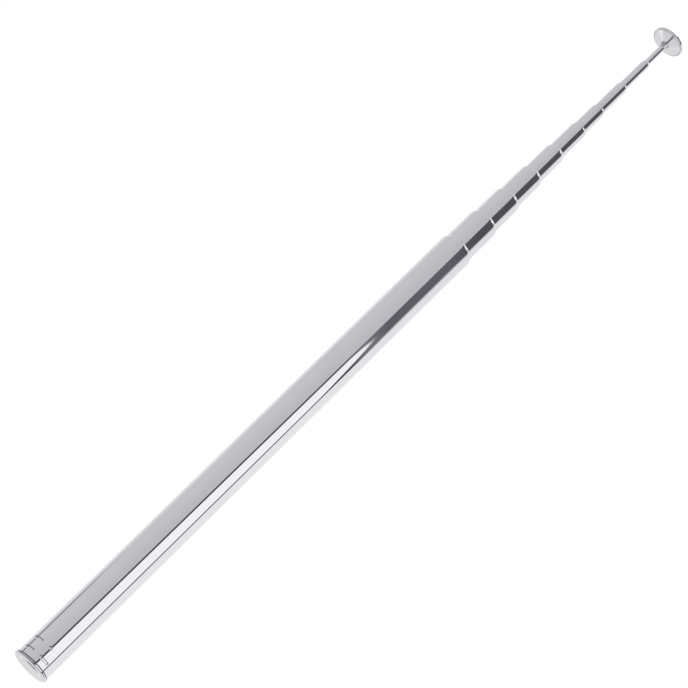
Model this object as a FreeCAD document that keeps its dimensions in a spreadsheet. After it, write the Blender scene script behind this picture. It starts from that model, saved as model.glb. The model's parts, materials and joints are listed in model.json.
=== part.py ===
"""Telescopic antenna, closed: ten nested round sections on a crimped base plug, with a disc at the tip.

The mast stands on +Z, and the origin is the centre of the base plug's end. Section 1 is the base tube,
sections 2 to 9 are tubes and section 10 is the solid tip rod. Each section slides in the one around it:
the flange at its foot runs in that bore and rests on the stop below when the mast is closed, and the
split spring above the flange meets the swaged mouth when the section is pulled out. Lengths are
millimetres and angles degrees.
"""
import FreeCAD
import Part
import os
import Sketcher

SHEET = "Sizes"
SIZES = {
    # The stack of diameters, from the rod outwards
    "rod_diameter": 1.8,
    "slide_gap": 0.2,
    "thin_wall": 0.2,
    "thick_wall": 0.3,
    # Lengths along the mast when it is closed
    "base_tube_length": 162.35,
    "stand_out_2": 11.6,
    "stand_out_3": 10.4,
    "stand_out_4": 10.6,
    "stand_out_5": 10.4,
    "stand_out_6": 10.5,
    "stand_out_7": 9.0,
    "stand_out_8": 11.0,
    "stand_out_9": 11.0,
    "stand_out_10": 9.9,
    # Swaged mouth of each tube
    "nose_length": 1.2,
    "nose_bulge": 0.04,
    "lip_land": 0.1,
    "swage_length": 0.8,
    "lip_clearance": 0.05,
    # Guide bush and split contact spring at the foot of each section
    "bush_flange": 1.0,
    "spigot_length": 4.7,
    "spring_length": 4.4,
    "spring_play": 0.05,
    "spring_slot": 90,
    "neck_depth": 0.3,
    "slide_clearance": 0.05,
    "spring_clearance": 0.02,
    "press_clearance": 0.01,
    "seat_clearance": 0.05,
    # Base plug, and the crimps that hold the base tube on it
    "pad_diameter": 7.2,
    "pad_height": 0.2,
    "flange_thickness": 0.8,
    "flange_overhang": 0.18,
    "flange_bevel": 0.3,
    "plug_spigot_length": 8.0,
    "crimp_low": 1.9,
    "crimp_high": 5.1,
    "crimp_width": 0.8,
    "crimp_depth": 0.16,
    "crimp_arc": 36,
    "crimp_clearance": 0.04,
    # Tip disc
    "disc_diameter": 9.9,
    "disc_rim": 0.7,
    "disc_bevel": 0.1,
    "disc_cone": 1.2,
    "hub_diameter": 2.5,
    "hub_length": 0.9,
    "socket_depth": 2.2,
}
CRIMPS_AROUND = 6
TIP = 10
LAST_TUBE = TIP - 1
THIN_TUBES = 4
FULL_TURN = 360
# A sketch's own lines, and the two ends of an edge
BASE_LINE = -1
AXIS_LINE = -2
START = 1
END = 2

doc = FreeCAD.newDocument("TelescopicAntenna")
sheet = doc.addObject("Spreadsheet::Sheet", SHEET)
for row, (alias, number) in enumerate(SIZES.items(), start=1):
    sheet.set(f"A{row}", alias)
    sheet.set(f"B{row}", str(number))
    sheet.setAlias(f"B{row}", alias)
doc.recompute()


class Size:
    """A size as an expression on the sheet's cells, with its present value."""

    def __init__(self, text, value):
        self.text = text
        self.value = value

    @staticmethod
    def of(term):
        """The term itself if it is a size, or a plain number as a size."""
        if isinstance(term, Size):
            return term
        return Size(str(term), float(term))

    def __add__(self, other):
        other = Size.of(other)
        return Size(f"({self.text} + {other.text})", self.value + other.value)

    def __sub__(self, other):
        other = Size.of(other)
        return Size(f"({self.text} - {other.text})", self.value - other.value)

    def __mul__(self, other):
        other = Size.of(other)
        return Size(f"({self.text} * {other.text})", self.value * other.value)

    def __truediv__(self, other):
        other = Size.of(other)
        return Size(f"({self.text} / {other.text})", self.value / other.value)

    def __rsub__(self, other):
        return Size.of(other) - self


def cell(alias):
    """The size held by one cell of the sheet."""
    return Size(f"{SHEET}.{alias}", float(sheet.get(alias)))


ZERO = Size.of(0)


def outer_radius(section):
    """Outside of a section: the rod, plus a gap and a wall for each tube that is slid over it."""
    tubes_inside = TIP - section
    thin = min(tubes_inside, THIN_TUBES)
    thick = tubes_inside - thin
    radius = cell("rod_diameter") / 2 + cell("slide_gap") * tubes_inside
    return radius + cell("thin_wall") * thin + cell("thick_wall") * thick


def bore_radius(section):
    """Inside of a tube: it leaves the gap that the next section slides in."""
    return outer_radius(section + 1) + cell("slide_gap")


def seam_height():
    """Foot of the base tube, on the flange of the plug."""
    return cell("pad_height") + cell("flange_thickness")


def plug_top():
    """Top of the plug inside the base tube, which carries section 2."""
    return seam_height() + cell("plug_spigot_length")


def foot_length():
    """Flange of a section's foot, and the room above it for the contact spring."""
    return cell("bush_flange") + cell("spring_length") + cell("spring_play") * 2


def head_foot(section):
    """Underside of a section's flange, just clear of the stop that it rests on."""
    pitch = foot_length() + cell("spigot_length") + cell("seat_clearance")
    return plug_top() + cell("seat_clearance") + pitch * (section - 2)


def spring_foot(section):
    """Lower end of a section's contact spring, on the flange."""
    return head_foot(section) + cell("bush_flange") + cell("spring_play")


def shaft_foot(section):
    """Foot of a section's own tube or rod, above its contact spring."""
    if section == 1:
        return seam_height()
    return head_foot(section) + foot_length()


def mouth_height(section):
    """Top of a tube when the mast is closed."""
    height = seam_height() + cell("base_tube_length")
    for outer in range(2, section + 1):
        height = height + cell(f"stand_out_{outer}")
    return height


def flange_radius(section):
    """Flange at a section's foot, a sliding fit in the bore around it."""
    return bore_radius(section - 1) - cell("slide_clearance")


def neck_radius(section):
    """Spigot or neck that the contact spring sits on: pressed in the tube, or turned on the rod."""
    if section == TIP:
        return outer_radius(TIP) - cell("neck_depth")
    return bore_radius(section) - cell("press_clearance")


def rim_height():
    """Lower edge of the tip disc's rim."""
    return mouth_height(LAST_TUBE) + cell("stand_out_10")


def hub_foot():
    """Lower end of the tip disc's hub, round the rod."""
    return rim_height() - cell("disc_cone") - cell("hub_length")


class Corner:
    """A corner of an outline, with the radius of the arc that leaves it, bulging right, if it isn't a line."""

    def __init__(self, radius, height, arc=None):
        self.radius = radius
        self.height = height
        self.arc = arc
        self.point = FreeCAD.Vector(radius.value, height.value, 0)

    def edge_to(self, following):
        """The stretch from this corner to the next one."""
        if self.arc is None:
            return Part.LineSegment(self.point, following.point)
        chord = following.point - self.point
        rise = self.arc.value - (self.arc.value ** 2 - chord.Length ** 2 / 4) ** 0.5
        side = FreeCAD.Vector(chord.y, -chord.x, 0).normalize()
        return Part.Arc(self.point, self.point + chord / 2 + side * rise, following.point)


def origin_plane(body, role):
    """One of the body's own origin planes or axes."""
    return next(plane for plane in body.Origin.OriginFeatures if plane.Role == role)


def bind(sketch, kind, *places, size):
    """Adds a dimension to the sketch and ties it to the sheet."""
    index = sketch.addConstraint(Sketcher.Constraint(kind, *places, size.value))
    sketch.setExpression(f"Constraints[{index}]", size.text)


def add_outline(sketch, outline):
    """Draws a closed outline and holds each of its corners and arcs at its size."""
    corners = [Corner(*item) for item in outline]
    followers = corners[1:] + corners[:1]
    edges = [sketch.addGeometry(corner.edge_to(after), False) for corner, after in zip(corners, followers)]
    starts = [start_of(sketch, edge, corner.point) for edge, corner in zip(edges, corners)]
    for index, corner in enumerate(corners):
        after = (index + 1) % len(corners)
        far_end = END if starts[index] == START else START
        joined = (edges[index], far_end, edges[after], starts[after])
        sketch.addConstraint(Sketcher.Constraint("Coincident", *joined))
        place_corner(sketch, edges[index], starts[index], corner)
        if corner.arc is not None:
            bind(sketch, "Radius", edges[index], size=corner.arc)


def start_of(sketch, edge, point):
    """Which end of an edge lies on the point: an arc may be stored the other way round."""
    to_start = sketch.getPoint(edge, START).distanceToPoint(point)
    to_end = sketch.getPoint(edge, END).distanceToPoint(point)
    return START if to_start < to_end else END


def place_corner(sketch, edge, end, corner):
    """Holds a corner at its radius and height, or on the axis or the base line where that is zero."""
    if corner.radius is ZERO:
        sketch.addConstraint(Sketcher.Constraint("PointOnObject", edge, end, AXIS_LINE))
    else:
        bind(sketch, "DistanceX", BASE_LINE, START, edge, end, size=corner.radius)
    if corner.height is ZERO:
        sketch.addConstraint(Sketcher.Constraint("PointOnObject", edge, end, BASE_LINE))
    else:
        bind(sketch, "DistanceY", BASE_LINE, START, edge, end, size=corner.height)


def turned_feature(body, kind, name, outlines, sweep=None):
    """Revolves outlines about the mast's axis, all the way or by an angle centred on the XZ plane."""
    sketch = body.newObject("Sketcher::SketchObject", f"{name}_profile")
    sketch.AttachmentSupport = [(origin_plane(body, "XZ_Plane"), "")]
    sketch.MapMode = "FlatFace"
    for outline in outlines:
        add_outline(sketch, outline)
    feature = body.newObject(f"PartDesign::{kind}", name)
    feature.Profile = sketch
    feature.ReferenceAxis = (sketch, ["V_Axis"])
    feature.Angle = FULL_TURN
    if sweep is not None:
        feature.Midplane = True
        feature.setExpression("Angle", sweep.text)
    doc.recompute()
    return feature


def turned_body(label, outline, sweep=None):
    """A body turned from one outline."""
    body = doc.addObject("PartDesign::Body", label)
    body.Label = label
    turned_feature(body, "Revolution", f"{label}_turned", [outline], sweep)
    return body


def tube_outline(section):
    """A tube with its mouth swaged in round the next section."""
    outer = outer_radius(section)
    bore = bore_radius(section)
    lip = outer_radius(section + 1) + cell("lip_clearance")
    nose_end = lip + cell("lip_land")
    foot = shaft_foot(section)
    mouth = mouth_height(section)
    nose = cell("nose_length")
    drop = outer - nose_end
    bulge = cell("nose_bulge")
    nose_curve = ((drop * drop + nose * nose) / 4 + bulge * bulge) / (bulge * 2)
    return [
        (bore, foot),
        (outer, foot),
        (outer, mouth - nose, nose_curve),
        (nose_end, mouth),
        (lip, mouth),
        (bore, mouth - cell("swage_length")),
    ]


def bush_outline(section):
    """A guide bush: a flange, and a spigot that carries the spring and is pressed into the tube above."""
    flange = flange_radius(section)
    spigot = neck_radius(section)
    foot = head_foot(section)
    flange_top = foot + cell("bush_flange")
    top = shaft_foot(section) + cell("spigot_length")
    return [
        (ZERO, foot),
        (flange, foot),
        (flange, flange_top),
        (spigot, flange_top),
        (spigot, top),
        (ZERO, top),
    ]


def spring_outline(section):
    """A contact spring: a sleeve between the neck that it sits on and the bore that it rubs in."""
    inside = neck_radius(section) + cell("spring_clearance")
    outside = bore_radius(section - 1) - cell("spring_clearance")
    foot = spring_foot(section)
    top = foot + cell("spring_length")
    return [
        (inside, foot),
        (outside, foot),
        (outside, top),
        (inside, top),
    ]


def rod_outline():
    """The solid tip rod, with a flange and a neck for the spring turned on its foot."""
    rod = outer_radius(TIP)
    flange = flange_radius(TIP)
    neck = neck_radius(TIP)
    foot = head_foot(TIP)
    flange_top = foot + cell("bush_flange")
    neck_top = shaft_foot(TIP)
    top = hub_foot() + cell("socket_depth") - cell("seat_clearance")
    return [
        (ZERO, foot),
        (flange, foot),
        (flange, flange_top),
        (neck, flange_top),
        (neck, neck_top),
        (rod, neck_top),
        (rod, top),
        (ZERO, top),
    ]


def disc_outline():
    """The tip disc: a hub round the rod, a coned underside, a bevelled rim and a flat top."""
    rim = cell("disc_diameter") / 2
    hub = cell("hub_diameter") / 2
    bevel = cell("disc_bevel")
    socket = outer_radius(TIP) + cell("press_clearance")
    rim_foot = rim_height()
    rim_top = rim_foot + cell("disc_rim")
    socket_top = hub_foot() + cell("socket_depth")
    return [
        (socket, hub_foot()),
        (hub, hub_foot()),
        (hub, rim_foot - cell("disc_cone")),
        (rim - bevel, rim_foot),
        (rim, rim_foot + bevel),
        (rim, rim_top - bevel),
        (rim - bevel, rim_top),
        (ZERO, rim_top),
        (ZERO, socket_top),
        (socket, socket_top),
    ]


def crimp_rows():
    """Heights of the two rows of crimps."""
    return [seam_height() + cell("crimp_low"), seam_height() + cell("crimp_high")]


def plug_outline():
    """The base plug: raised end pad, flange, and a spigot with a waist under the two rows of crimps."""
    flange = outer_radius(1) + cell("flange_overhang")
    spigot = bore_radius(1) - cell("press_clearance")
    waist = bore_radius(1) - cell("crimp_depth") - cell("crimp_clearance")
    margin = cell("crimp_width") / 2 + cell("crimp_clearance")
    low_row, high_row = crimp_rows()
    pad = cell("pad_diameter") / 2
    pad_height = cell("pad_height")
    bevel = cell("flange_bevel")
    return [
        (ZERO, ZERO),
        (pad - pad_height, ZERO),
        (pad, pad_height),
        (flange - bevel, pad_height),
        (flange, pad_height + bevel),
        (flange, seam_height()),
        (spigot, seam_height()),
        (spigot, low_row - margin),
        (waist, low_row - margin),
        (waist, high_row + margin),
        (spigot, high_row + margin),
        (spigot, plug_top()),
        (ZERO, plug_top()),
    ]


def crimp_outlines(face):
    """One crimp of each row: a wedge pressed in from a face of the wall.

    The wedge is closed on a line half a wall outside that face, in the open air or in the metal.
    """
    half = cell("crimp_width") / 2
    back = face + cell("thick_wall") / 2
    edge = face - cell("crimp_depth")
    outlines = []
    for row_height in crimp_rows():
        low = row_height - half
        high = row_height + half
        outlines.append([(face, low), (back, low), (back, high), (face, high), (edge, row_height)])
    return outlines


def crimp(body):
    """Presses the wall of the base tube in all the way round each row: bumps inside, dents outside."""
    sweep = cell("crimp_arc")
    bumps = turned_feature(body, "Revolution", "crimp_bumps", crimp_outlines(bore_radius(1)), sweep)
    dents = turned_feature(body, "Groove", "crimp_dents", crimp_outlines(outer_radius(1)), sweep)
    around = body.newObject("PartDesign::PolarPattern", "crimps_around")
    around.Originals = [bumps, dents]
    around.Axis = (origin_plane(body, "Z_Axis"), [""])
    around.Angle = FULL_TURN
    around.Occurrences = CRIMPS_AROUND
    body.Tip = around
    doc.recompute()


def build():
    """Makes every piece of the antenna and returns the bodies."""
    split = FULL_TURN - cell("spring_slot")
    base_tube = turned_body("base_tube", tube_outline(1))
    crimp(base_tube)
    bodies = [turned_body("base_plug", plug_outline()), base_tube]
    for section in range(2, TIP):
        bodies.append(turned_body(f"section_{section}_tube", tube_outline(section)))
        bodies.append(turned_body(f"section_{section}_bush", bush_outline(section)))
        bodies.append(turned_body(f"section_{section}_spring", spring_outline(section), split))
    bodies.append(turned_body("tip_rod", rod_outline()))
    bodies.append(turned_body("tip_spring", spring_outline(TIP), split))
    bodies.append(turned_body("tip_disc", disc_outline()))
    return bodies


def write(bodies):
    """Writes each body to its own file, once the whole document is sound."""
    for item in doc.Objects:
        if {"Invalid", "Error"} & set(item.State):
            raise RuntimeError(f"{item.Label} failed: {item.State}")
    for body in bodies:
        if body.Shape.isNull() or not body.Shape.isValid() or len(body.Shape.Solids) != 1:
            raise RuntimeError(f"{body.Label} is not one sound solid")
    os.makedirs("parts", exist_ok=True)
    for body in bodies:
        body.Shape.exportStep(f"parts/{body.Label}.step")
        print(f"{body.Label}: {body.Shape.Volume:.2f} mm3")


def travel(section):
    """How far a section slides out before its contact spring meets the mouth around it."""
    throat = mouth_height(section - 1) - cell("swage_length")
    return throat - cell("seat_clearance") - spring_foot(section) - cell("spring_length")


write(build())
for number in range(2, TIP + 1):
    print(f"section {number} slides out by {travel(number).value:.2f} mm")
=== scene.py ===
"""Closed telescopic antenna in polished chrome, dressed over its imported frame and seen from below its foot.

Lengths in the classes are millimetres, as on a maker's drawing, and become metres where a mesh is made.
The studio around the antenna is in metres.
"""
import json
import logging
import math
from dataclasses import dataclass, field
from enum import Enum
from typing import Any, ClassVar

import bpy
from mathutils import Matrix, Vector


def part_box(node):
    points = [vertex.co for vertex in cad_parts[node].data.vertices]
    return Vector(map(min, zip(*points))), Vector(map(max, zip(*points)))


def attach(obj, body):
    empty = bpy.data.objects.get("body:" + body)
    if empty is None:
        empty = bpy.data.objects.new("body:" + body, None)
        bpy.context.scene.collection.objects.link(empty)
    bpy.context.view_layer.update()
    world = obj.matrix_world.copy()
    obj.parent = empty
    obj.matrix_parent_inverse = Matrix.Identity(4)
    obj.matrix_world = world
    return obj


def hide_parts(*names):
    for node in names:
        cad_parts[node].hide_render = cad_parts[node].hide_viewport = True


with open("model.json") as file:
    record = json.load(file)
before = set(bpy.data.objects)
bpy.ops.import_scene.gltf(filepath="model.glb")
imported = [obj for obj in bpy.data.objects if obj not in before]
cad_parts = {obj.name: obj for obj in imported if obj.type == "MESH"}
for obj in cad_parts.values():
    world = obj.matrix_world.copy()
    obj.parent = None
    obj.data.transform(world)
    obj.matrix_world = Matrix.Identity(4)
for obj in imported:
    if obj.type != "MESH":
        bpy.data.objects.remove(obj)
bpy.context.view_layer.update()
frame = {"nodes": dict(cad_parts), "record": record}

LOG = logging.getLogger("antenna")
MM = 0.001
IMAGE_SIDE = 688
SENSOR = 36.0
CAMERA_AZIMUTH = math.radians(-75)
Point = tuple[float, float]
Colour = tuple[float, float, float]
WHITE: Colour = (1.0, 1.0, 1.0)


class Slot(Enum):
    """The record's material slots."""

    CHROME = "chrome_plate"
    BRASS = "turned_brass"
    BRONZE = "spring_bronze"


class Wire:
    """One socket of a node tree, with Python's operators for its maths."""

    def __init__(self, sheet: "NodeSheet", socket: bpy.types.NodeSocket) -> None:
        """Keeps the socket and the sheet that it is on.

        Args:
            sheet: The sheet that new nodes go to.
            socket: The output that this wire comes from.
        """
        self.sheet = sheet
        self.socket = socket

    def maths(self, operation: str, *terms: Any) -> "Wire":
        """Puts a Math node on the sheet.

        Args:
            operation: The Math node's operation.
            terms: Its values, numbers or wires.

        Returns:
            The node's result.
        """
        return self.sheet.add("ShaderNodeMath", {"operation": operation}, dict(enumerate(terms)))

    def __add__(self, other: Any) -> "Wire":
        """Sum."""
        return self.maths("ADD", self, other)

    def __radd__(self, other: Any) -> "Wire":
        """Sum, with the number first."""
        return self.maths("ADD", other, self)

    def __sub__(self, other: Any) -> "Wire":
        """Difference."""
        return self.maths("SUBTRACT", self, other)

    def __rsub__(self, other: Any) -> "Wire":
        """Difference, with the number first."""
        return self.maths("SUBTRACT", other, self)

    def __mul__(self, other: Any) -> "Wire":
        """Product."""
        return self.maths("MULTIPLY", self, other)

    def __rmul__(self, other: Any) -> "Wire":
        """Product, with the number first."""
        return self.maths("MULTIPLY", other, self)

    def __truediv__(self, other: Any) -> "Wire":
        """Quotient."""
        return self.maths("DIVIDE", self, other)

    def __rtruediv__(self, other: Any) -> "Wire":
        """Quotient, with the number first."""
        return self.maths("DIVIDE", other, self)

    def __abs__(self) -> "Wire":
        """Size without its sign."""
        return self.maths("ABSOLUTE", self)

    def step(self, low: Any, high: Any) -> "Wire":
        """Smooth step that rises.

        Args:
            low: Number or wire where the step starts, at 0.
            high: Number or wire where it ends, at 1.

        Returns:
            The step, from 0 to 1.
        """
        ends = {0: self, 1: low, 2: high}
        return self.sheet.add("ShaderNodeMapRange", {"interpolation_type": "SMOOTHSTEP"}, ends)

    def ramp(self, low: float, high: float) -> "Wire":
        """Smooth step that rises or falls.

        Args:
            low: Value where the step starts, at 0.
            high: Value where it ends, at 1. It may be below low, and the step then falls.

        Returns:
            The step, from 0 to 1.
        """
        return 1 - self.step(high, low) if low > high else self.step(low, high)

    def band(self, low: float, high: float, soft: float) -> "Wire":
        """Mask of a range.

        Args:
            low: Middle of the rising edge.
            high: Middle of the falling edge.
            soft: Half the width of each edge.

        Returns:
            1 inside the range, 0 outside it.
        """
        return self.ramp(low - soft, low + soft) * self.ramp(high + soft, high - soft)


class NodeSheet:
    """A node tree that is filled by expressions."""

    def __init__(self, tree: bpy.types.NodeTree) -> None:
        """Keeps the tree, emptied.

        Args:
            tree: The node tree to fill.
        """
        self.tree = tree
        tree.nodes.clear()

    def add(self, kind: str, settings: dict[str, Any] | None = None, inputs: dict[Any, Any] | None = None,
            output: Any = 0) -> Wire:
        """Puts a node on the sheet.

        Args:
            kind: The node's type.
            settings: Its own settings, which are set first.
            inputs: Values or wires of its sockets, by name or number.
            output: Name or number of the output that is returned.

        Returns:
            A wire from that output, or from the node's first input if it has no outputs.
        """
        node = self.tree.nodes.new(kind)
        for name, value in (settings or {}).items():
            setattr(node, name, value)
        for name, value in (inputs or {}).items():
            if isinstance(value, Wire):
                self.tree.links.new(value.socket, node.inputs[name])
            else:
                node.inputs[name].default_value = value
        sockets = node.outputs if len(node.outputs) else node.inputs
        return Wire(self, sockets[output])

    def axis(self, vector: Wire, name: str) -> Wire:
        """Takes one axis of a vector.

        Args:
            vector: The vector.
            name: X, Y or Z.

        Returns:
            The vector's size along that axis.
        """
        return self.add("ShaderNodeSeparateXYZ", inputs={0: vector}, output=name)

    def blend(self, mask: Any, first: Any, second: Any) -> Wire:
        """Mixes two colours.

        Args:
            mask: Share of the second colour.
            first: Colour at 0, as red, green and blue or a wire.
            second: Colour at 1.

        Returns:
            The mixed colour.
        """
        below, above = (value if isinstance(value, Wire) else (*value, 1.0) for value in (first, second))
        return self.add("ShaderNodeMix", {"data_type": "RGBA"}, {0: mask, 6: below, 7: above}, output=2)


def node_material(name: str) -> tuple[bpy.types.Material, NodeSheet]:
    """Makes an empty material.

    Args:
        name: The material's name.

    Returns:
        The material, and the sheet that its nodes go to.
    """
    material = bpy.data.materials.new(name)
    material.use_nodes = True
    return material, NodeSheet(material.node_tree)


def put_in_scene(name: str, data: bpy.types.ID) -> bpy.types.Object:
    """Puts a mesh, a lamp or a camera in the scene.

    Args:
        name: The object's name.
        data: What the object holds.

    Returns:
        The object, at the origin.
    """
    placed = bpy.data.objects.new(name, data)
    bpy.context.scene.collection.objects.link(placed)
    return placed


@dataclass(frozen=True)
class MetalFinish:
    """A bare or plated metal: its colour, and the marks that its making and handling leave.

    The marks are fine drawn lines along the mast, a slow mottle, soft smudges from fingers, and painted
    shade: a dark matt coat where a piece's painted-shade attribute says so, standing in for shadow in seams,
    at rims and round crimps.
    """

    LINE_SCALE: ClassVar[tuple[float, float, float]] = (5200, 5200, 14)
    LINE_RANGE: ClassVar[Point] = (0.4, 0.65)
    LINE_RELIEF: ClassVar[float] = 0.25
    SMUDGE_SCALE: ClassVar[tuple[float, float, float]] = (220, 220, 60)
    SMUDGE_RANGE: ClassVar[Point] = (0.52, 0.72)
    MOTTLE_SCALE: ClassVar[float] = 140.0
    MOTTLE_RANGE: ClassVar[Point] = (0.35, 0.75)
    # Colour of the painted shade, how far it hides the metal, and its roughness.
    SHADE_COLOUR: ClassVar[Colour] = (0.05, 0.05, 0.055)
    SHADE_COVER: ClassVar[float] = 0.95
    SHADE_ROUGHNESS: ClassVar[float] = 0.6

    name: str
    slot: Slot
    colour: Colour
    stain: Colour
    stain_share: float
    roughness: float
    line_roughness: float
    smudge_roughness: float
    line_height: float
    line_tone: float

    def material(self) -> bpy.types.Material:
        """Makes the finish's material.

        Returns:
            The material, read from Object coordinates.
        """
        material, sheet = node_material(self.name)
        place = sheet.add("ShaderNodeTexCoord", output="Object")
        along = sheet.add("ShaderNodeMapping", inputs={"Vector": place, "Scale": self.LINE_SCALE})
        lines = sheet.add("ShaderNodeTexNoise", inputs={"Vector": along, "Scale": 1.0, "Detail": 3.0})
        mottle = sheet.add("ShaderNodeTexNoise", inputs={
            "Vector": place,
            "Scale": self.MOTTLE_SCALE,
            "Detail": 4.0,
        })
        handled = sheet.add("ShaderNodeMapping", inputs={"Vector": place, "Scale": self.SMUDGE_SCALE})
        smudges = sheet.add("ShaderNodeTexNoise", inputs={"Vector": handled, "Scale": 1.0, "Detail": 2.0})
        smudge = smudges.ramp(*self.SMUDGE_RANGE)
        # Painted shade: a mask of dark lines where shadow falls in seams, at rims and along the crimps'
        # edges.
        shade_mask = sheet.add("ShaderNodeAttribute", {"attribute_name": "shade_lines"}, output="Fac")
        blotches = mottle.ramp(*self.MOTTLE_RANGE) * self.stain_share
        wear = blotches + lines.ramp(*self.LINE_RANGE) * self.line_tone
        stained = sheet.blend(wear, self.colour, self.stain)
        polish = self.roughness + lines * self.line_roughness + smudge * self.smudge_roughness
        relief = sheet.add("ShaderNodeBump", inputs={
            "Strength": self.LINE_RELIEF,
            "Distance": self.line_height,
            "Height": lines,
        })
        metal = sheet.add("ShaderNodeBsdfPrincipled", inputs={
            # Under the painted shade the metal turns into a dark, rough, barely metallic coat.
            "Base Color": sheet.blend(shade_mask, stained, self.SHADE_COLOUR),
            "Metallic": 1 - shade_mask * self.SHADE_COVER,
            "Roughness": polish + shade_mask * self.SHADE_ROUGHNESS,
            "Normal": relief,
        })
        sheet.add("ShaderNodeOutputMaterial", inputs={"Surface": metal})
        return material


CHROME = MetalFinish(
    name="polished_chrome",
    slot=Slot.CHROME,
    colour=(0.90, 0.90, 0.915),
    stain=(0.86, 0.86, 0.885),
    stain_share=0.6,
    roughness=0.012,
    line_roughness=0.02,
    smudge_roughness=0.015,
    line_height=1e-7,
    line_tone=0.5,
)
BRASS = MetalFinish(
    name="turned_brass",
    slot=Slot.BRASS,
    colour=(0.72, 0.55, 0.25),
    stain=(0.48, 0.33, 0.14),
    stain_share=0.7,
    roughness=0.22,
    line_roughness=0.1,
    smudge_roughness=0.08,
    line_height=2e-6,
    line_tone=0.3,
)
BRONZE = MetalFinish(
    name="spring_bronze",
    slot=Slot.BRONZE,
    colour=(0.66, 0.42, 0.24),
    stain=(0.42, 0.23, 0.13),
    stain_share=0.7,
    roughness=0.26,
    line_roughness=0.12,
    smudge_roughness=0.06,
    line_height=2e-6,
    line_tone=0.3,
)


@dataclass
class TurnedOutline:
    """Half of a turned piece's section, as radius and height of each point, drawn up its outside.

    Each point also says how much painted shade it carries, from 0 to 1, standing in for shadow in seams and
    at rims.
    """

    SUPPORT: ClassVar[float] = 0.15
    SHADE_SPREAD: ClassVar[float] = 1.8

    points: list[Point] = field(default_factory=list)
    shade_amount: list[float] = field(default_factory=list)

    def put(self, radius: float, height: float, shade_amount: float = 0.0) -> None:
        """Adds a point.

        Args:
            radius: Its distance from the axis.
            height: Its height up the mast.
            shade_amount: The painted shade on it.
        """
        self.points.append((radius, height))
        self.shade_amount.append(shade_amount)

    def paint_shade(self, back: int, shade_amount: float) -> None:
        """Puts painted shade on a point that is drawn already.

        Args:
            back: How many points lie after it.
            shade_amount: The painted shade on it.
        """
        self.shade_amount[-1 - back] = shade_amount

    def to(self, radius: float, height: float) -> "TurnedOutline":
        """Draws a straight stretch, with a point near each of its ends where it is long.

        Args:
            radius: Where it ends, from the axis.
            height: Where it ends, up the mast.

        Returns:
            This outline.
        """
        end = Vector((radius, height))
        if self.points:
            start = Vector(self.points[-1])
            length = (end - start).length
            if length > 4 * self.SUPPORT:
                self.put(*start.lerp(end, self.SUPPORT / length))
                self.put(*end.lerp(start, self.SUPPORT / length))
        self.put(radius, height)
        return self

    def rows(self, radius: float, top: float, step: float) -> "TurnedOutline":
        """Draws close rows straight up, for a stretch whose shape is pressed in later.

        Args:
            radius: Radius of the stretch.
            top: Height where it ends.
            step: Distance between rows.

        Returns:
            This outline.
        """
        foot = self.points[-1][1]
        count = math.ceil((top - foot) / step)
        for row in range(1, count + 1):
            self.put(radius, foot + (top - foot) * row / count)
        return self

    def rounded(self, corner: Point, toward: Point, radius: float, steps: int = 8,
                shade_amount: float = 0.0) -> "TurnedOutline":
        """Draws up to a corner and round it.

        Args:
            corner: The sharp corner.
            toward: Where the outline goes on to.
            radius: Radius of the round.
            steps: Stretches in the round.
            shade_amount: The painted shade at the middle of the round.

        Returns:
            This outline.
        """
        at = Vector(corner)
        back = (Vector(self.points[-1]) - at).normalized()
        onward = (Vector(toward) - at).normalized()
        half = back.angle(onward) / 2
        cut = radius / math.tan(half)
        centre = at + (back + onward).normalized() * (radius / math.sin(half))
        first = at + back * cut - centre
        sweep = first.angle_signed(at + onward * cut - centre)
        self.to(*(centre + first))
        for step in range(1, steps + 1):
            turned = first.copy()
            turned.rotate(Matrix.Rotation(-sweep * step / steps, 2))
            # The painted shade is strongest at the middle of the round and fades towards its ends.
            spread = min(1.0, self.SHADE_SPREAD * math.sin(math.pi * step / steps))
            self.put(*(centre + turned), shade_amount * spread)
        return self


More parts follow.
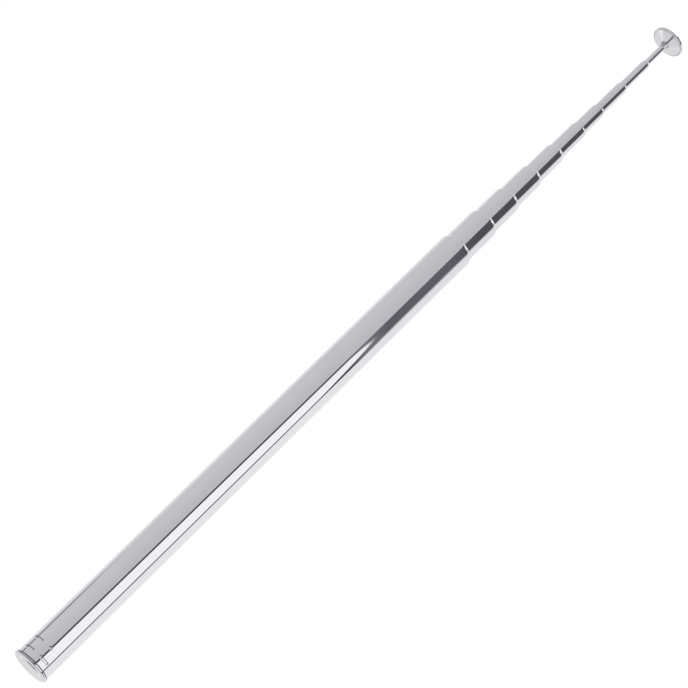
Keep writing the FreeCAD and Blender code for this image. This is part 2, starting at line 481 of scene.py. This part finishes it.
class LatheTree:
    """Geometry nodes that turn an outline about the mast's axis, and press crimps in its wall.

    The crimps' masks are in degrees from the faint dent: its own reach, and the stretch where the painted
    shade is mostly left out.
    """

    CRIMP_SIZES: ClassVar[tuple[str, ...]] = (
        "Crimps Around", "Crimp Arc", "Crimp Low", "Crimp High", "Crimp Width", "Crimp Depth", "Crimp Shade",
        "Crimp Miss",
    )
    CRIMP_EDGE: ClassVar[float] = math.radians(5)
    CRIMP_FLAT: ClassVar[float] = 0.45
    MASK_SOFT: ClassVar[float] = 3.0
    FAINT_REACH: ClassVar[float] = 25.5
    FAINT_SHARE: ClassVar[float] = 0.92
    # Stretch of the crimps, in degrees from the faint dent, where most of the painted shade is left out.
    UNSHADED_FROM: ClassVar[float] = 24.0
    UNSHADED_TO: ClassVar[float] = 75.0
    UNSHADED_SHARE: ClassVar[float] = 0.85
    # Soft edge, in millimetres, where the painted shade begins above each row's middle.
    SHADE_EDGE: ClassVar[float] = 0.05
    MERGE: ClassVar[float] = 1e-7

    def __init__(self) -> None:
        """Builds the tree, with its sizes as named inputs."""
        self.tree = bpy.data.node_groups.new("turn_on_lathe", "GeometryNodeTree")
        sheet = NodeSheet(self.tree)
        kinds = {
            "Outline": "NodeSocketGeometry",
            "Segments": "NodeSocketInt",
            "Rows": "NodeSocketInt",
            "Finish": "NodeSocketMaterial",
            **dict.fromkeys(self.CRIMP_SIZES, "NodeSocketFloat"),
        }
        ports = self.tree.interface
        self.inputs = {
            name: ports.new_socket(name, in_out="INPUT", socket_type=kind) for name, kind in kinds.items()
        }
        ports.new_socket("Piece", in_out="OUTPUT", socket_type="NodeSocketGeometry")
        self.fill(sheet)

    def fill(self, sheet: NodeSheet) -> None:
        """Lays the nodes out: a sheet rolled round the axis, each row at its outline point, then the crimps.

        Args:
            sheet: The tree's sheet.
        """
        given = sheet.tree.nodes.new("NodeGroupInput")
        port = {socket.name: Wire(sheet, socket) for socket in given.outputs if socket.name}
        cloth = sheet.add("GeometryNodeMeshGrid", inputs={
            "Size X": 1.0,
            "Size Y": 1.0,
            "Vertices X": port["Segments"] + 1,
            "Vertices Y": port["Rows"],
        })
        place = sheet.add("GeometryNodeInputPosition")
        across = sheet.axis(place, "X") + 0.5
        up = sheet.axis(place, "Y") + 0.5
        counted = up * (port["Rows"] - 1)
        row = counted.maths("ROUND", counted)
        corner = sheet.add("GeometryNodeSampleIndex", {"data_type": "FLOAT_VECTOR"}, {
            "Geometry": port["Outline"],
            "Value": place,
            "Index": row,
        })
        # Each row's painted shade, sampled from its outline point.
        outline_shade = sheet.add("GeometryNodeSampleIndex", {"data_type": "FLOAT"}, {
            "Geometry": port["Outline"],
            "Value": sheet.add("GeometryNodeInputNamedAttribute", {"data_type": "FLOAT"}, {"Name": "shade_amount"}),
            "Index": row,
        })
        height = sheet.axis(corner, "Z")
        turn = across * math.tau
        pressed, shade_mask = self.pressed(port, turn, height)
        inner = sheet.axis(corner, "X") - pressed * port["Crimp Depth"]
        rolled = sheet.add("ShaderNodeCombineXYZ", inputs={
            0: inner * turn.maths("COSINE", turn),
            1: inner * turn.maths("SINE", turn),
            2: height,
        })
        # Stores the painted shade: the outline's lines at seams and rims, and the crimps' edges.
        shade_stored = sheet.add("GeometryNodeStoreNamedAttribute", {"data_type": "FLOAT", "domain": "POINT"}, {
            "Geometry": cloth,
            "Name": "shade_lines",
            "Value": outline_shade + shade_mask,
        })
        turned = sheet.add("GeometryNodeSetPosition", inputs={"Geometry": shade_stored, "Position": rolled})
        closed = sheet.add("GeometryNodeMergeByDistance", inputs={
            "Geometry": turned,
            "Distance": self.MERGE,
        })
        real = sheet.add("GeometryNodeRealizeInstances", inputs={"Geometry": closed})
        dressed = sheet.add("GeometryNodeSetMaterial", inputs={"Geometry": real, "Material": port["Finish"]})
        sheet.add("NodeGroupOutput", inputs={0: dressed})

    def pressed(self, port: dict[str, Wire], turn: Wire, height: Wire) -> tuple[Wire, Wire]:
        """How far the wall is pressed in by two rows of crimps, and the painted shade at their upper edges.

        Args:
            port: The tree's inputs by name.
            turn: Angle round the axis.
            height: Height up the mast.

        Returns:
            The share of the crimps' depth, from 0 to 1, and the painted shade, from 0 to 1.
        """
        pitch = math.tau / port["Crimps Around"]
        from_middle = abs(turn.maths("WRAP", turn, pitch / 2, pitch / -2))
        reach = port["Crimp Arc"] / 2
        inside = 1 - from_middle.step(reach - self.CRIMP_EDGE, reach)
        half = port["Crimp Width"] / 2
        aside = turn.maths("WRAP", turn - port["Crimp Miss"], math.pi, -math.pi) * math.degrees(1)
        faint = aside.band(-self.FAINT_REACH, self.FAINT_REACH, self.MASK_SOFT) * self.FAINT_SHARE
        # Most of the painted shade is left out on this stretch of crimps.
        unshaded = aside.band(self.UNSHADED_FROM, self.UNSHADED_TO, self.MASK_SOFT) * self.UNSHADED_SHARE
        depth: Any = 0.0
        shade_mask: Any = 0.0
        for name, share in (("Crimp Low", 1.0), ("Crimp High", 1 - faint)):
            above = height - port[name]
            row = 1 - abs(above).step(half * self.CRIMP_FLAT, half)
            # Painted shade along the dents' edges, where shadow falls, kept to the upper half of each row.
            edges = row * (1 - row) * inside + inside * (1 - inside) * row
            upper = above.ramp(-self.SHADE_EDGE * MM, self.SHADE_EDGE * MM)
            depth = depth + inside * row * share
            shade_mask = shade_mask + edges * upper * share * port["Crimp Shade"]
        return depth, shade_mask * (1 - unshaded)


@dataclass
class Crimps:
    """Two rows of dents that hold a tube on the plug inside it; one dent of the upper row is only faint."""

    around: int = 6
    arc: float = math.radians(36)
    low: float = 1.9
    high: float = 5.1
    width: float = 0.8
    depth: float = 0.12
    # Strength of the painted shade along the dents' edges.
    shade_amount: float = 5.5
    miss: float = math.radians(-45.5)


class Lathe:
    """Turns outlines to plain meshes with the lathe tree."""

    SHARP: ClassVar[float] = math.radians(35)

    def __init__(self) -> None:
        """Builds the tree once for all the pieces."""
        self.tree = LatheTree()

    def turn(self, name: str, outline: TurnedOutline, finish: bpy.types.Material, segments: int,
             crimps: Crimps | None, foot: float) -> bpy.types.Object:
        """Turns one closed outline.

        Args:
            name: The piece's name.
            outline: Its outline, which is closed from its last point to its first.
            finish: Its material.
            segments: Faces round the axis.
            crimps: Rows of dents to press in, if it has them.
            foot: Height that the rows are counted from.

        Returns:
            The piece, with its place in its mesh.
        """
        points = outline.points + outline.points[:1]
        profile = bpy.data.meshes.new(f"{name}_outline")
        profile.from_pydata([(radius * MM, 0, height * MM) for radius, height in points], [], [])
        # Each outline point carries its painted shade into the lathe tree.
        outline_shade = profile.attributes.new("shade_amount", "FLOAT", "POINT")
        outline_shade.data.foreach_set("value", outline.shade_amount + outline.shade_amount[:1])
        blank = put_in_scene(f"{name}_blank", profile)
        pressed = crimps or Crimps(depth=0.0, shade_amount=0.0)
        values = {
            "Segments": segments,
            "Rows": len(points),
            "Finish": finish,
            "Crimps Around": float(pressed.around),
            "Crimp Arc": pressed.arc,
            "Crimp Low": (foot + pressed.low) * MM,
            "Crimp High": (foot + pressed.high) * MM,
            "Crimp Width": pressed.width * MM,
            "Crimp Depth": pressed.depth * MM,
            "Crimp Shade": pressed.shade_amount,
            "Crimp Miss": pressed.miss,
        }
        modifier = blank.modifiers.new("lathe", "NODES")
        modifier.node_group = self.tree.tree
        for label, value in values.items():
            modifier[self.tree.inputs[label].identifier] = value
        shaped = blank.evaluated_get(bpy.context.evaluated_depsgraph_get())
        mesh = bpy.data.meshes.new_from_object(shaped)
        bpy.data.objects.remove(blank)
        mesh.name = name
        mesh.shade_smooth()
        mesh.set_sharp_from_angle(angle=self.SHARP)
        return put_in_scene(name, mesh)


@dataclass(kw_only=True)
class TurnedPiece:
    """A chromed piece that is turned from one outline, in the place of one solid of the frame."""

    node: str
    body: str
    segments: int = 192
    crimps: Crimps | None = None

    def outline(self) -> TurnedOutline:
        """Draws the piece's section, each kind of piece in its own way."""
        raise NotImplementedError

    def build(self, lathe: Lathe, finish: bpy.types.Material) -> None:
        """Turns the piece, dresses it and puts it in the place of its solid.

        Args:
            lathe: The lathe.
            finish: The piece's material.
        """
        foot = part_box(self.node)[0].z / MM
        name = f"{self.node}_chromed"
        piece = lathe.turn(name, self.outline(), finish, self.segments, self.crimps, foot)
        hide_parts(self.node)
        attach(piece, self.body)
        LOG.info("%s: %d faces, on %s", piece.name, len(piece.data.polygons), self.body)


@dataclass(kw_only=True)
class TubeSection(TurnedPiece):
    """A tube of the mast, with its mouth swaged in round the next section."""

    wall: float
    next_radius: float
    nose: float = 1.2
    nose_bulge: float = 0.04
    nose_round: float = 3.0
    shoulder_steps: int = 12
    crown_steps: int = 8
    land: float = 0.1
    lip_clearance: float = 0.05
    lip_round_share: float = 0.026
    lip_steps: int = 12
    swage: float = 0.8
    foot_round: float = 0.04
    # Painted shade in the seam round the tube's foot, where it meets the flange.
    foot_shade: float = 0.0
    crimp_grid: float = 0.05

    def outline(self) -> TurnedOutline:
        """Draws the tube's section.

        Returns:
            The outline, from the foot of the bore up the outside and back down the bore.
        """
        low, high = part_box(self.node)
        outer = high.x / MM
        bore = outer - self.wall
        lip = self.next_radius + self.lip_clearance
        foot = low.z / MM
        mouth = high.z / MM
        end = lip + self.land
        shoulder = (outer, mouth - self.nose)
        middle = Vector(shoulder).lerp(Vector((end, mouth)), 0.5)
        across = Vector((self.nose, outer - end)).normalized()
        crown = middle + across * self.nose_bulge
        drawn = TurnedOutline().to(bore, foot)
        drawn.rounded((outer, foot), (outer, mouth), self.foot_round, shade_amount=self.foot_shade)
        if self.crimps:
            drawn.to(outer, foot + self.crimps.low - self.crimps.width)
            drawn.rows(outer, foot + self.crimps.high + self.crimps.width, self.crimp_grid)
        drawn.rounded(shoulder, tuple(crown), self.nose_round, self.shoulder_steps)
        drawn.rounded(tuple(crown), (end, mouth), self.nose_round, self.crown_steps)
        drawn.rounded((end, mouth), (lip, mouth), outer * self.lip_round_share, self.lip_steps)
        return drawn.to(lip, mouth).to(bore, mouth - self.swage)


@dataclass(kw_only=True)
class BasePlug(TurnedPiece):
    """The plug that closes the base tube, with a round-edged flange and a raised pad on its end.

    Its waist, and the painted shade line on the flange, are measured from the seam between the flange and the
    tube.
    """

    # Painted shade on three points of the flange's rounded rim, darkest in the middle.
    RIM_SHADE: ClassVar[tuple[tuple[int, float], ...]] = ((5, 0.4), (6, 0.85), (7, 0.4))

    node: str = "base_plug"
    body: str = "base"
    bore: float = 4.7
    pad: float = 3.6
    pad_height: float = 0.2
    pad_round: float = 0.05
    pad_root_round: float = 0.04
    flange_thickness: float = 0.8
    flange_round: float = 0.5
    flange_steps: int = 16
    # Painted shade under the seam: none at the first height, full from the second up into the seam.
    unshaded_below: float = 0.22
    shade_below: float = 0.19
    seam_round: float = 0.06
    seam_steps: int = 4
    press_clearance: float = 0.01
    waist: float = 4.5
    waist_low: float = 1.46
    waist_high: float = 5.54

    def outline(self) -> TurnedOutline:
        """Draws the plug's section.

        Returns:
            The outline, from the centre of its end up to the top of its spigot.
        """
        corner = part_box(self.node)[1]
        flange = corner.x / MM
        top = corner.z / MM
        seam = self.pad_height + self.flange_thickness
        spigot = self.bore - self.press_clearance
        waist_foot = seam + self.waist_low
        waist_top = seam + self.waist_high
        drawn = TurnedOutline().to(0.0, 0.0)
        drawn.rounded((self.pad - self.pad_height, 0.0), (self.pad, self.pad_height), self.pad_round)
        drawn.rounded((self.pad, self.pad_height), (flange, self.pad_height), self.pad_root_round)
        drawn.rounded((flange, self.pad_height), (flange, seam), self.flange_round, self.flange_steps)
        # Painted shade along the flange's rounded rim.
        for back, shade_amount in self.RIM_SHADE:
            drawn.paint_shade(back, shade_amount)
        # A thin line of painted shade just below the seam.
        drawn.put(flange, seam - self.unshaded_below)
        drawn.put(flange, seam - self.shade_below, 1.0)
        drawn.rounded((flange, seam), (spigot, seam), self.seam_round, self.seam_steps)
        # Painted shade in the seam between the flange and the tube.
        for back in range(self.seam_steps + 1):
            drawn.paint_shade(back, 1.0)
        drawn.to(spigot, seam).to(spigot, waist_foot).to(self.waist, waist_foot)
        return drawn.to(self.waist, waist_top).to(spigot, waist_top).to(spigot, top).to(0.0, top)


@dataclass(kw_only=True)
class TipRod(TurnedPiece):
    """The solid rod, with a flange and a neck for its spring at the foot."""

    node: str = "tip_rod"
    body: str = "tip"
    segments: int = 96
    radius: float = 0.9
    neck: float = 0.6
    flange: float = 1.0
    foot_length: float = 5.5
    shoulder_round: float = 0.05

    def outline(self) -> TurnedOutline:
        """Draws the rod's section.

        Returns:
            The outline, from the centre of its foot up to its top.
        """
        low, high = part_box(self.node)
        foot = low.z / MM
        top = high.z / MM
        head = high.x / MM
        neck_foot = foot + self.flange
        neck_top = foot + self.foot_length
        drawn = TurnedOutline().to(0.0, foot).to(head, foot).to(head, neck_foot)
        drawn.to(self.neck, neck_foot).to(self.neck, neck_top)
        drawn.rounded((self.radius, neck_top), (self.radius, top), self.shoulder_round)
        return drawn.to(self.radius, top).to(0.0, top)


@dataclass(kw_only=True)
class TipDisc(TurnedPiece):
    """The disc on the rod's end: a hub, a coned underside, and a rim with soft edges."""

    node: str = "tip_disc"
    body: str = "tip"
    hub: float = 1.25
    hub_length: float = 0.9
    hub_round: float = 0.12
    # Painted shade at the hub's foot, in the hub's root and on the rim's edge, and a painted shade ring
    # inside the rim.
    hub_shade: float = 0.6
    root_round: float = 0.15
    root_shade: float = 0.8
    cone: float = 1.2
    bevel: float = 0.1
    rim_round: float = 0.12
    rim_shade: float = 0.6
    unshaded_inside: float = 0.6
    shade_inside: float = 0.25
    inside_shade: float = 0.35
    socket: float = 0.91
    socket_depth: float = 2.2

    def outline(self) -> TurnedOutline:
        """Draws the disc's section.

        Returns:
            The outline, from the hub's foot up round the rim and down the socket.
        """
        low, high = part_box(self.node)
        foot = low.z / MM
        top = high.z / MM
        rim = high.x / MM
        root = foot + self.hub_length
        rim_foot = root + self.cone
        socket_top = foot + self.socket_depth
        edge = Vector((rim - self.bevel, rim_foot))
        inward = (Vector((self.hub, root)) - edge).normalized()
        drawn = TurnedOutline().to(self.socket, foot)
        # Painted shade rings on the hub, its root, inside the rim and on the rim's edge.
        drawn.rounded((self.hub, foot), (self.hub, root), self.hub_round, shade_amount=self.hub_shade)
        drawn.rounded((self.hub, root), (rim - self.bevel, rim_foot), self.root_round, shade_amount=self.root_shade)
        drawn.to(*(edge + inward * self.unshaded_inside))
        drawn.put(*(edge + inward * self.shade_inside), self.inside_shade)
        drawn.rounded(tuple(edge), (rim, rim_foot + self.bevel), self.rim_round, shade_amount=self.rim_shade)
        drawn.rounded((rim, rim_foot + self.bevel), (rim, top), self.rim_round)
        drawn.rounded((rim, top - self.bevel), (rim - self.bevel, top), self.rim_round)
        drawn.rounded((rim - self.bevel, top), (0.0, top), self.rim_round)
        return drawn.to(0.0, top).to(0.0, socket_top).to(self.socket, socket_top)


@dataclass
class Mast:
    """The whole antenna: ten sections, the plug and the disc, and the fittings inside."""

    tubes: int = 9
    thin_wall: float = 0.2
    thick_wall: float = 0.3
    first_thin: int = 6
    base_foot_round: float = 0.12
    # Painted shade in the seam at the base tube's foot.
    base_foot_shade: float = 1.0

    def section_nodes(self) -> list[str]:
        """Names of the sections' solids, from the base tube to the rod."""
        return ["base_tube", *(f"section_{number}_tube" for number in range(2, self.tubes + 1)), "tip_rod"]

    def section_radius(self, number: int) -> float:
        """Outside radius of a section.

        Args:
            number: The section, from 1 at the base.

        Returns:
            The radius.
        """
        if number > self.tubes:
            return TipRod().radius
        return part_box(self.section_nodes()[number - 1])[1].x / MM

    def build(self, lathe: Lathe) -> None:
        """Builds and dresses every piece.

        Args:
            lathe: The lathe.
        """
        chrome = CHROME.material()
        BasePlug().build(lathe, chrome)
        for number, node in enumerate(self.section_nodes()[:-1], start=1):
            tube = TubeSection(
                node=node,
                body=f"section_{number}",
                wall=self.thin_wall if number >= self.first_thin else self.thick_wall,
                next_radius=self.section_radius(number + 1),
            )
            if number == 1:
                tube.body = "base"
                tube.crimps = Crimps()
                tube.foot_round = self.base_foot_round
                tube.foot_shade = self.base_foot_shade
            tube.build(lathe, chrome)
        TipRod().build(lathe, chrome)
        TipDisc().build(lathe, chrome)
        self.dress_fittings()

    @staticmethod
    def dress_fittings() -> None:
        """Gives the guide bushes and contact springs inside the tubes their metals."""
        for finish in (BRASS, BRONZE):
            metal = finish.material()
            for fitting in frame["record"]["subparts"]:
                if fitting["material_slot"] == finish.slot.value:
                    materials = frame["nodes"][fitting["node"]].data.materials
                    materials.clear()
                    materials.append(metal)
                    LOG.info("%s: %s", fitting["node"], finish.name)


@dataclass
class Panel:
    """A part of the studio that the chrome mirrors, in degrees round the mast from the camera and up.

    Its sides may lean with height, counted from LEAN_FROM, and its top may fall away to the sides.
    """

    LEAN_FROM: ClassVar[float] = 13.0

    colour: Colour
    left: float
    right: float
    low: float = -90.0
    high: float = 91.0
    left_soft: float = 1.0
    right_soft: float = 1.0
    end_soft: float = 1.0
    left_lean: float = 0.0
    left_stop: float = 180.0
    right_lean: float = 0.0
    crown: float = 0.0

    def mask(self, azimuth: Wire, elevation: Wire) -> Wire:
        """Where the panel shows.

        Args:
            azimuth: Angle round the mast from the camera.
            elevation: Angle up from level.

        Returns:
            1 on the panel, 0 off it.
        """
        leaning = self.left + (elevation - self.LEAN_FROM) * self.left_lean
        left = leaning.maths("MINIMUM", leaning, self.left_stop)
        right = self.right + (elevation - self.LEAN_FROM) * self.right_lean
        from_middle = abs((azimuth - (self.left + self.right) / 2) / ((self.right - self.left) / 2))
        fall = from_middle * from_middle * self.crown
        across = (azimuth - left).ramp(-self.left_soft, self.left_soft) \
            * (azimuth - right).ramp(self.right_soft, -self.right_soft)
        upward = elevation.ramp(self.low - self.end_soft, self.low + self.end_soft) \
            * (elevation + fall).ramp(self.high + self.end_soft, self.high - self.end_soft)
        return across * upward


@dataclass
class Studio:
    """White studio, with walls, lights and dark gaps that only the chrome mirrors, and a pale floor."""

    wall: Colour = (0.87, 0.87, 0.88)
    floor_height: float = -0.3
    floor_radius: float = 4.0
    floor_sides: int = 96
    floor_fade: Point = (1.2, 3.6)
    floor_glow: float = 0.5
    floor_dark: Colour = (0.80, 0.80, 0.805)
    floor_pale: Colour = (0.84, 0.84, 0.845)
    cloth_near: float = 0.02
    cloth_far: float = 0.26
    cloth_lift: float = 0.002
    cloth_spread: float = math.radians(88)
    cloth_steps: int = 24
    cloth_dark: Colour = (0.21, 0.205, 0.21)
    cloth_pale: Colour = (0.27, 0.265, 0.27)
    lamp_height: float = 1.6
    lamp_size: float = 1.2
    lamp_power: float = 12.0

    @staticmethod
    def panels() -> list[Panel]:
        """Lists what stands in the studio, back to front.

        Returns:
            The panels.
        """
        gap = (0.05, 0.05, 0.06)
        dim = (0.30, 0.30, 0.31)
        back = (0.76, 0.76, 0.77)
        pale_high = Panel((0.81, 0.82, 0.84), 70, 165, low=25, end_soft=3, left_soft=6, right_soft=6)
        grey_far = Panel((0.61, 0.604, 0.63), -182, 16)
        grey_near = Panel((0.545, 0.54, 0.57), -35, 16, left_soft=45)
        left_glow = Panel(WHITE, -240, -134, high=48, right_soft=36, end_soft=10)
        left_line = Panel((0.10, 0.10, 0.11), -110, -102, high=15.2, left_soft=2, right_soft=2, end_soft=1.2)
        gap_low = Panel((0.04, 0.04, 0.048), 4.0, 77.5, high=24, left_lean=1.2, left_stop=16.5, left_soft=2,
                        right_soft=2.5, end_soft=1)
        gap_high = Panel((0.12, 0.12, 0.142), 16.7, 75, low=23.5, high=60, left_soft=2.5, right_soft=10,
                         end_soft=1)
        gap_top = Panel((0.083, 0.082, 0.096), 18.8, 68.5, low=27, high=66.5, left_soft=2.5, right_soft=9,
                        end_soft=0.6, right_lean=0.5)
        light = Panel((0.985, 0.985, 1.0), 13.8, 70.5, high=23.9, left_lean=1.15, crown=1.85, left_soft=1.5,
                      right_soft=1.5, end_soft=0.2)
        top_near = Panel(WHITE, 19, 85, low=63.5, left_soft=6, right_soft=4, end_soft=2)
        top_side = Panel(WHITE, 40, 85, low=52, left_soft=10, right_soft=4, end_soft=3)
        top_far = Panel(WHITE, -166, -120, low=58, left_soft=3, right_soft=4, end_soft=4)
        low_grey = Panel((0.36, 0.36, 0.38), -102, -4, high=6, left_soft=8, right_soft=4, end_soft=2)
        low_near_gap = Panel(gap, -8, 14, high=6, left_soft=6, right_soft=1.5, end_soft=2)
        low_far_gap = Panel(gap, 66, 82, high=6, left_soft=1.5, right_soft=5, end_soft=2)
        low_right_gap = Panel(dim, 92, 106, low=-30, high=6, left_soft=2, right_soft=2, end_soft=2)
        low_right_light = Panel(WHITE, 108, 142, high=6, left_soft=2, right_soft=4, end_soft=2)
        low_left_gap = Panel(dim, -128, -112, low=-30, high=6, left_soft=2, right_soft=4, end_soft=2)
        low_left_light = Panel(WHITE, -152, -130, high=6, left_soft=3, right_soft=2, end_soft=2)
        back_left = Panel(back, -190, -152, high=9, right_soft=6, end_soft=2.5)
        back_right = Panel(back, 150, 190, high=9, left_soft=6, end_soft=2.5)
        underfoot = Panel((0.71, 0.71, 0.715), -190, 190, high=-48, end_soft=6)
        return [
            pale_high, grey_far, grey_near, left_glow, left_line,
            gap_low, gap_high, gap_top, light, top_near, top_side, top_far,
            low_grey, low_near_gap, low_far_gap, low_right_gap, low_right_light, low_left_gap,
            low_left_light, back_left, back_right, underfoot,
        ]

    def build(self) -> None:
        """Builds the world, the floor, the cloth and the lamp."""
        self.build_world()
        self.build_floor()
        self.build_cloth()
        self.build_lamp()

    def build_world(self) -> None:
        """Paints the studio on the world: white to the camera, panels to what mirrors it."""
        world = bpy.data.worlds.new("studio")
        world.use_nodes = True
        bpy.context.scene.world = world
        sheet = NodeSheet(world.node_tree)
        direction = sheet.add("ShaderNodeTexCoord", output="Generated")
        turned = sheet.add("ShaderNodeVectorRotate", {"rotation_type": "Z_AXIS"}, {
            "Vector": direction,
            "Angle": -CAMERA_AZIMUTH,
        })
        toward, aside, up = (sheet.axis(turned, name) for name in "XYZ")
        azimuth = aside.maths("ARCTAN2", aside, toward) * math.degrees(1)
        elevation = up.maths("ARCSINE", up) * math.degrees(1)
        colour: Any = self.wall
        for panel in self.panels():
            colour = sheet.blend(panel.mask(azimuth, elevation), colour, panel.colour)
        mirrored = sheet.add("ShaderNodeBackground", inputs={"Color": colour, "Strength": 1.0})
        plain = sheet.add("ShaderNodeBackground", inputs={"Color": (*WHITE, 1.0), "Strength": 1.0})
        straight = sheet.add("ShaderNodeLightPath", output="Is Camera Ray")
        seen = sheet.add("ShaderNodeMixShader", inputs={0: straight, 1: mirrored, 2: plain})
        sheet.add("ShaderNodeOutputWorld", inputs={"Surface": seen})

    def build_floor(self) -> None:
        """Lays a plain pale floor under the camera, which shows only from above."""
        mesh = bpy.data.meshes.new("floor")
        turns = [math.tau * side / self.floor_sides for side in range(self.floor_sides)]
        ring = [(math.cos(turn) * self.floor_radius, math.sin(turn) * self.floor_radius, self.floor_height)
                for turn in turns]
        mesh.from_pydata(ring, [], [list(range(self.floor_sides))])
        floor = put_in_scene("floor", mesh)
        material, sheet = node_material("pale_floor")
        place = sheet.add("ShaderNodeTexCoord", output="Object")
        cloud = sheet.add("ShaderNodeTexNoise", inputs={"Vector": place, "Scale": 2.0, "Detail": 3.0})
        distance = sheet.add("ShaderNodeVectorMath", {"operation": "LENGTH"}, {0: place}, output="Value")
        far = distance.ramp(*self.floor_fade)
        middle = sheet.blend(cloud, self.floor_dark, self.floor_pale)
        colour = sheet.blend(far, middle, WHITE)
        matt = sheet.add("ShaderNodeBsdfDiffuse", inputs={"Color": middle})
        glow = sheet.add("ShaderNodeEmission", inputs={"Color": colour, "Strength": 1.0})
        camera = sheet.add("ShaderNodeLightPath", output="Is Camera Ray")
        glowing = camera * (self.floor_glow + far * (1 - self.floor_glow))
        lit = sheet.add("ShaderNodeMixShader", inputs={0: glowing, 1: matt, 2: glow})
        underside = sheet.add("ShaderNodeNewGeometry", output="Backfacing")
        clear = sheet.add("ShaderNodeBsdfTransparent")
        one_sided = sheet.add("ShaderNodeMixShader", inputs={0: underside, 1: lit, 2: clear})
        sheet.add("ShaderNodeOutputMaterial", inputs={"Surface": one_sided})
        mesh.materials.append(material)
        floor.visible_glossy = False
        LOG.info("floor at %.2f m", self.floor_height)

    def build_cloth(self) -> None:
        """Lays a grey cloth on the floor toward the camera, which only the chrome mirrors."""
        height = self.floor_height + self.cloth_lift
        row = self.cloth_steps + 1
        turns = [CAMERA_AZIMUTH + self.cloth_spread * (2 * step / self.cloth_steps - 1)
                 for step in range(row)]
        corners = [(radius * math.cos(turn), radius * math.sin(turn), height)
                   for radius in (self.cloth_near, self.cloth_far) for turn in turns]
        quads = [[step, step + row, step + row + 1, step + 1] for step in range(self.cloth_steps)]
        mesh = bpy.data.meshes.new("cloth")
        mesh.from_pydata(corners, [], quads)
        cloth = put_in_scene("cloth", mesh)
        material, sheet = node_material("grey_cloth")
        place = sheet.add("ShaderNodeTexCoord", output="Object")
        nap = sheet.add("ShaderNodeTexNoise", inputs={"Vector": place, "Scale": 60.0, "Detail": 3.0})
        weave = sheet.blend(nap, self.cloth_dark, self.cloth_pale)
        matt = sheet.add("ShaderNodeBsdfDiffuse", inputs={"Color": weave})
        sheet.add("ShaderNodeOutputMaterial", inputs={"Surface": matt})
        mesh.materials.append(material)
        cloth.visible_camera = False
        cloth.visible_diffuse = False
        cloth.visible_shadow = False

    def build_lamp(self) -> None:
        """Hangs a large soft lamp over the mast, for the floor's shadow."""
        lamp = bpy.data.lights.new("overhead", "AREA")
        lamp.shape = "DISK"
        lamp.size = self.lamp_size
        lamp.energy = self.lamp_power
        hung = put_in_scene("overhead", lamp)
        hung.location = (0.0, 0.0, self.lamp_height)
        hung.visible_glossy = False
        hung.visible_camera = False


@dataclass
class PhotoCamera:
    """The photograph's camera: where a point low on the mast's axis lies in it, and how the mast leans."""

    focal: float = 2340.64
    axis_pixel: Point = (30.992, 665.969)
    axis_height: float = 0.75
    depth: float = 569.21
    in_plane: float = 44.291
    toward_back: float = 23.387
    clip_start: float = 0.01
    clip_end: float = 50.0

    def place(self) -> None:
        """Sets the camera up in the antenna's frame."""
        half = IMAGE_SIDE / 2
        lean = math.radians(self.in_plane)
        back = math.radians(self.toward_back)
        mast = Vector((math.cos(back) * math.cos(lean), -math.cos(back) * math.sin(lean), math.sin(back)))
        column, line = self.axis_pixel
        point = Vector(((column - half) / self.focal, (line - half) / self.focal, 1.0)) * self.depth
        facing = (mast * point.dot(mast) - point).normalized()
        side = mast.cross(facing)
        rows = (facing, side, mast)
        turn = Matrix.Rotation(CAMERA_AZIMUTH, 3, "Z")
        spot = Vector([-point.dot(row) for row in rows]) + Vector((0, 0, self.axis_height))
        right, down, forward = (turn @ Vector([row[axis] for row in rows]) for axis in range(3))
        camera = bpy.data.cameras.new("photo_camera")
        camera.sensor_width = SENSOR
        camera.lens = self.focal * SENSOR / IMAGE_SIDE
        camera.clip_start = self.clip_start
        camera.clip_end = self.clip_end
        placed = put_in_scene("photo_camera", camera)
        placed.matrix_world = Matrix.Translation(turn @ spot * MM) @ Matrix(
            (right, -down, -forward)).transposed().to_4x4()
        bpy.context.scene.camera = placed


def main() -> None:
    """Builds the antenna, its studio and its camera."""
    logging.basicConfig(level=logging.INFO)
    bpy.context.scene.view_settings.view_transform = "Standard"
    PhotoCamera().place()
    Studio().build()
    Mast().build(Lathe())


if __name__ == "__main__":
    main()
